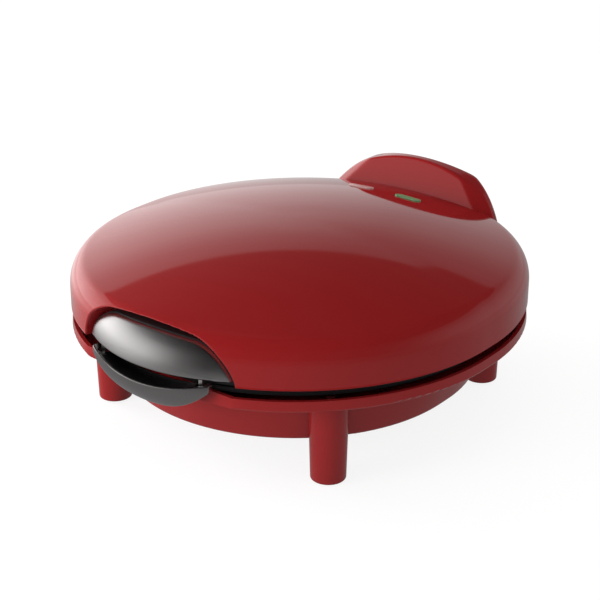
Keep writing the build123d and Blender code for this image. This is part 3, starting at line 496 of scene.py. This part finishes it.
def material_of(name, colour, roughness, **values):
    """A Principled material; returns it with its tree and its shader."""
    material = bpy.data.materials.new(name)
    material.use_nodes = True
    tree = material.node_tree
    shader = tree.nodes["Principled BSDF"]
    shader.inputs["Base Color"].default_value = (*colour, 1.0)
    shader.inputs["Roughness"].default_value = roughness
    for key, value in values.items():
        shader.inputs[key.replace("_", " ")].default_value = value
    return material, tree, shader


def cloud_group():
    """A node group: soft clouds between two levels, in Object coordinates, for roughness."""
    group = bpy.data.node_groups.new("Clouds", "ShaderNodeTree")
    for name, value in (("Scale", 60.0), ("Low", 0.0), ("High", 1.0)):
        group.interface.new_socket(name=name, in_out="INPUT", socket_type="NodeSocketFloat").default_value = value
    group.interface.new_socket(name="Value", in_out="OUTPUT", socket_type="NodeSocketFloat")
    nodes, links = group.nodes, group.links
    given, out = nodes.new("NodeGroupInput"), nodes.new("NodeGroupOutput")
    place, noise = nodes.new("ShaderNodeTexCoord"), nodes.new("ShaderNodeTexNoise")
    level = nodes.new("ShaderNodeMapRange")
    noise.inputs["Detail"].default_value = 4.0
    level.inputs["From Min"].default_value = 0.3
    level.inputs["From Max"].default_value = 0.7
    links.new(place.outputs["Object"], noise.inputs["Vector"])
    links.new(given.outputs["Scale"], noise.inputs["Scale"])
    links.new(noise.outputs["Fac"], level.inputs["Value"])
    links.new(given.outputs["Low"], level.inputs["To Min"])
    links.new(given.outputs["High"], level.inputs["To Max"])
    links.new(level.outputs["Result"], out.inputs["Value"])
    return group


def clouds(tree, group, scale, low, high, target):
    """Drives one of a shader's inputs with clouds between two levels."""
    node = tree.nodes.new("ShaderNodeGroup")
    node.node_tree = group
    node.inputs["Scale"].default_value = scale
    node.inputs["Low"].default_value = low
    node.inputs["High"].default_value = high
    tree.links.new(node.outputs["Value"], target)


def grain_group():
    """A node group: a normal disturbed by fine noise in Object coordinates."""
    group = bpy.data.node_groups.new("Grain", "ShaderNodeTree")
    for name, value in (("Scale", 900.0), ("Strength", 0.1), ("Height", 0.00005)):
        group.interface.new_socket(name=name, in_out="INPUT", socket_type="NodeSocketFloat").default_value = value
    group.interface.new_socket(name="Normal", in_out="OUTPUT", socket_type="NodeSocketVector")
    nodes, links = group.nodes, group.links
    given, out = nodes.new("NodeGroupInput"), nodes.new("NodeGroupOutput")
    place, noise, bump = nodes.new("ShaderNodeTexCoord"), nodes.new("ShaderNodeTexNoise"), nodes.new("ShaderNodeBump")
    links.new(place.outputs["Object"], noise.inputs["Vector"])
    links.new(given.outputs["Scale"], noise.inputs["Scale"])
    links.new(noise.outputs["Fac"], bump.inputs["Height"])
    links.new(given.outputs["Strength"], bump.inputs["Strength"])
    links.new(given.outputs["Height"], bump.inputs["Distance"])
    links.new(bump.outputs["Normal"], out.inputs["Normal"])
    return group


def grain(tree, group, scale, strength, height, shader):
    """Gives a shader a grained normal; height is in metres."""
    node = tree.nodes.new("ShaderNodeGroup")
    node.node_tree = group
    node.inputs["Scale"].default_value = scale
    node.inputs["Strength"].default_value = strength
    node.inputs["Height"].default_value = height
    tree.links.new(node.outputs["Normal"], shader.inputs["Normal"])


CLOUDS, GRAIN = cloud_group(), grain_group()

# Slot: colour, roughness low and high, cloud scale, grain scale, strength and height, other shader values
FINISHES = {
    "red_gloss": ((0.272, 0.0125, 0.0135), (0.05, 0.075), 40.0, (260.0, 0.04, 0.00003), {"IOR": 1.5}),
    "grip_silver": ((0.54, 0.525, 0.52), (0.29, 0.32), 90.0, (1200.0, 0.0, 0.000004), {"Metallic": 1.0}),
    "latch_grey": ((0.34, 0.32, 0.32), (0.24, 0.28), 90.0, (1200.0, 0.0, 0.000004), {"Metallic": 1.0}),
    "black_plate": ((0.012, 0.012, 0.013), (0.32, 0.44), 50.0, (2200.0, 0.35, 0.00005), {"IOR": 1.45}),
    "dark_plastic": ((0.02, 0.02, 0.021), (0.35, 0.5), 80.0, (1800.0, 0.3, 0.00004), {"IOR": 1.48}),
    "pad_rubber": ((0.022, 0.021, 0.02), (0.7, 0.9), 120.0, (1400.0, 0.5, 0.00008), {"IOR": 1.5}),
    "steel": ((0.56, 0.55, 0.53), (0.24, 0.36), 200.0, (3000.0, 0.2, 0.00002), {"Metallic": 1.0}),
    "bright_sheet": ((0.75, 0.75, 0.76), (0.22, 0.36), 70.0, (1600.0, 0.25, 0.00003), {"Metallic": 1.0}),
    "pale_ceramic": ((0.68, 0.66, 0.6), (0.45, 0.6), 150.0, (1500.0, 0.3, 0.00004), {"IOR": 1.5}),
    "pale_lens": ((0.78, 0.52, 0.5), (0.12, 0.18), 90.0, (500.0, 0.05, 0.00003), {"Transmission Weight": 0.25}),
    "green_lens": ((0.16, 0.5, 0.25), (0.12, 0.18), 90.0, (500.0, 0.05, 0.00003), {"Transmission Weight": 0.25}),
    "lamp_glass": ((0.9, 0.85, 0.8), (0.05, 0.08), 90.0, (500.0, 0.03, 0.00003), {"Transmission Weight": 0.8}),
}


def finish(slot):
    """The material of one slot of the record."""
    colour, (low, high), scale, (grain_scale, strength, height), values = FINISHES[slot]
    material, tree, shader = material_of(slot, colour, low, **values)
    clouds(tree, CLOUDS, scale, low, high, shader.inputs["Roughness"])
    grain(tree, GRAIN, grain_scale, strength, height, shader)
    return material


materials = {slot: finish(slot) for slot in FINISHES}

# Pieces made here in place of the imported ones
lid_shell = make_lid_shell(materials["red_gloss"])
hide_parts("upper_housing")
make_crest(materials["red_gloss"])
make_lid_ears(materials["red_gloss"])
grip = make_grip(materials["grip_silver"])
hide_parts("handle")
# Painted shade: a dark rim that stands in for the shadow in the gap round the grip
make_painted_gap_shade(materials["dark_plastic"])
latch = make_latch(materials["latch_grey"])
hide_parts("latch")
make_lugs(materials["grip_silver"])

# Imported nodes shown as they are, welded, with their sharp edges kept
for part in frame["record"]["subparts"]:
    node = frame["nodes"][part["node"]]
    node.data.materials.clear()
    node.data.materials.append(materials[part["material_slot"]])
    if node.hide_render:
        continue
    node.data.shade_smooth()
    weld = node.modifiers.new("Weld", "WELD")
    weld.merge_threshold = WELD_DISTANCE
    split = node.modifiers.new("Split", "EDGE_SPLIT")
    split.split_angle = SHARP_ANGLE

# Studio
bpy.ops.mesh.primitive_plane_add(size=6.0, location=(0.0, 0.0, 0.0))
floor = bpy.context.object
floor.name = "floor"


def mixed(nodes, links, factor, first, second):
    """A Mix Shader of two shaders by a factor's socket."""
    mix = nodes.new("ShaderNodeMixShader")
    links.new(factor, mix.inputs[0])
    links.new(first, mix.inputs[1])
    links.new(second, mix.inputs[2])
    return mix.outputs[0]


def ramped(nodes, links, value, stops, top):
    """A colour ramp of grey levels up to top, over (position, level) stops."""
    ramp = nodes.new("ShaderNodeValToRGB")
    elements = ramp.color_ramp.elements
    while len(elements) < len(stops):
        elements.new(0.5)
    for element, (position, level) in zip(elements, stops):
        element.position = position
        element.color = (level / top, level / top, level / top, 1.0)
    links.new(value, ramp.inputs["Fac"])
    return ramp.outputs["Color"]


# Light that polished surfaces reflect: radiance at degrees round from the front towards the right, and its share
# at the sine of the elevation, which drops at the card's upper edge
ROUND_STOPS = (
    (-180, 0.53), (-150, 0.68), (-120, 1.7), (-95, 2.4), (-75, 1.9), (-58, 1.35), (-39, 1.1), (-25, 0.6),
    (-10, 0.14), (8, 0.03), (75, 0.06), (95, 0.18), (120, 0.5), (150, 0.63), (180, 0.53),
)
ROUND_TOP = 2.4
CARD_EDGE = math.sin(math.radians(33.0))
RISE_STOPS = (
    (0.0, 1.0), (0.2, 0.95), (0.36, 0.78), (0.47, 0.5),
    (CARD_EDGE - 0.003, 0.4), (CARD_EDGE + 0.003, 0.1), (0.75, 0.03),
)
SOFT_LEVEL = 0.68

# The floor: radiance reflected near the object, share of the card's further out, glow and shade to the camera
FLOOR_NEAR = 0.3
FLOOR_FAR = ((0.0, 0.0), (0.2, 0.0), (0.5, 0.65), (1.0, 0.65))
FLOOR_GLOW = 0.86
FLOOR_SHADE = 0.2
FLOOR_TONE = 0.8


def reflected_round(nodes, links, direction):
    """The card's radiance over ROUND_TOP by the angle round from the front: atan2(x, -y)."""
    split = nodes.new("ShaderNodeSeparateXYZ")
    links.new(direction, split.inputs["Vector"])
    back, angle, turn = (nodes.new("ShaderNodeMath") for _ in range(3))
    back.operation, angle.operation, turn.operation = "MULTIPLY", "ARCTAN2", "MULTIPLY_ADD"
    back.inputs[1].default_value = -1.0
    turn.inputs[1].default_value, turn.inputs[2].default_value = 0.5 / math.pi, 0.5
    links.new(split.outputs["Y"], back.inputs[0])
    links.new(split.outputs["X"], angle.inputs[0])
    links.new(back.outputs[0], angle.inputs[1])
    links.new(angle.outputs[0], turn.inputs[0])
    stops = [(degrees / 360.0 + 0.5, level) for degrees, level in ROUND_STOPS]
    return ramped(nodes, links, turn.outputs[0], stops, ROUND_TOP), split.outputs["Z"]


def floor_material():
    """Pale matt floor: white to the camera with the object's shadow left on it, dimmer in reflections."""
    material = bpy.data.materials.new("floor_pale")
    material.use_nodes = True
    nodes, links = material.node_tree.nodes, material.node_tree.links
    nodes.clear()
    out, paths = nodes.new("ShaderNodeOutputMaterial"), nodes.new("ShaderNodeLightPath")
    place, length = nodes.new("ShaderNodeTexCoord"), nodes.new("ShaderNodeVectorMath")
    length.operation = "LENGTH"
    links.new(place.outputs["Object"], length.inputs[0])
    bounce, shade = nodes.new("ShaderNodeBsdfDiffuse"), nodes.new("ShaderNodeBsdfDiffuse")
    bounce.inputs["Color"].default_value = (FLOOR_TONE, FLOOR_TONE, FLOOR_TONE, 1.0)
    shade.inputs["Color"].default_value = (FLOOR_SHADE, FLOOR_SHADE, FLOOR_SHADE, 1.0)
    glow, mirrored = nodes.new("ShaderNodeEmission"), nodes.new("ShaderNodeEmission")
    white = nodes.new("ShaderNodeAddShader")
    glow.inputs["Strength"].default_value = FLOOR_GLOW
    mirrored.inputs["Strength"].default_value = ROUND_TOP
    far = ramped(nodes, links, length.outputs["Value"], FLOOR_FAR, 1.0)
    around, _ = reflected_round(nodes, links, place.outputs["Object"])
    spread = nodes.new("ShaderNodeMix")
    spread.data_type = "RGBA"
    links.new(far, spread.inputs["Factor"])
    near = FLOOR_NEAR / ROUND_TOP
    spread.inputs["A"].default_value = (near, near, near, 1.0)
    links.new(around, spread.inputs["B"])
    links.new(spread.outputs["Result"], mirrored.inputs["Color"])
    links.new(glow.outputs[0], white.inputs[0])
    links.new(shade.outputs[0], white.inputs[1])
    reflected = mixed(nodes, links, paths.outputs["Is Glossy Ray"], bounce.outputs[0], mirrored.outputs[0])
    links.new(mixed(nodes, links, paths.outputs["Is Camera Ray"], reflected, white.outputs[0]), out.inputs["Surface"])
    return material


floor.data.materials.append(floor_material())


def studio_world():
    """White to the camera; even soft light; in reflections a card bright to the left and rear, up to a level edge."""
    world = bpy.data.worlds.new("studio")
    world.use_nodes = True
    nodes, links = world.node_tree.nodes, world.node_tree.links
    nodes.clear()
    out, paths = nodes.new("ShaderNodeOutputWorld"), nodes.new("ShaderNodeLightPath")
    place = nodes.new("ShaderNodeTexCoord")
    around, height = reflected_round(nodes, links, place.outputs["Generated"])
    rise = ramped(nodes, links, height, RISE_STOPS, 1.0)
    product = nodes.new("ShaderNodeVectorMath")
    product.operation = "MULTIPLY"
    links.new(around, product.inputs[0])
    links.new(rise, product.inputs[1])
    card, soft, white = (nodes.new("ShaderNodeBackground") for _ in range(3))
    card.inputs["Strength"].default_value = ROUND_TOP
    links.new(product.outputs[0], card.inputs["Color"])
    for background, level in ((soft, SOFT_LEVEL), (white, 1.0)):
        background.inputs["Color"].default_value = (1.0, 1.0, 1.0, 1.0)
        background.inputs["Strength"].default_value = level
    lit = mixed(nodes, links, paths.outputs["Is Glossy Ray"], soft.outputs[0], card.outputs[0])
    links.new(mixed(nodes, links, paths.outputs["Is Camera Ray"], lit, white.outputs[0]), out.inputs["Surface"])
    return world


bpy.context.scene.world = studio_world()


def add_light(name, place, target, size, power):
    """A soft square light aimed at a point, seen by diffuse surfaces only."""
    data = bpy.data.lights.new(name, "AREA")
    data.shape = "SQUARE"
    data.size = size
    data.energy = power
    light = bpy.data.objects.new(name, data)
    light.location = place
    light.rotation_euler = (Vector(target) - Vector(place)).to_track_quat("-Z", "Y").to_euler()
    light.visible_glossy = False
    bpy.context.scene.collection.objects.link(light)
    return light


MIDDLE = (0.0, 0.0, 0.06)
add_light("left", (-1.2, -0.2, 0.25), MIDDLE, size=0.6, power=17.0)
add_light("front", (-0.55, -1.18, 0.27), MIDDLE, size=0.6, power=10.0)

# Camera, fitted to the photo
camera_data = bpy.data.cameras.new("camera")
camera_data.sensor_width = 36.0
camera_data.lens = 90.36
camera_data.clip_start = 0.05
camera = bpy.data.objects.new("camera", camera_data)
camera.location = (0.5399, -0.6915, 0.4373)
camera.rotation_euler = Vector((-0.5658, 0.7242, -0.3941)).to_track_quat("-Z", "Y").to_euler()
bpy.context.scene.collection.objects.link(camera)
bpy.context.scene.camera = camera
bpy.context.scene.view_settings.view_transform = "Standard"
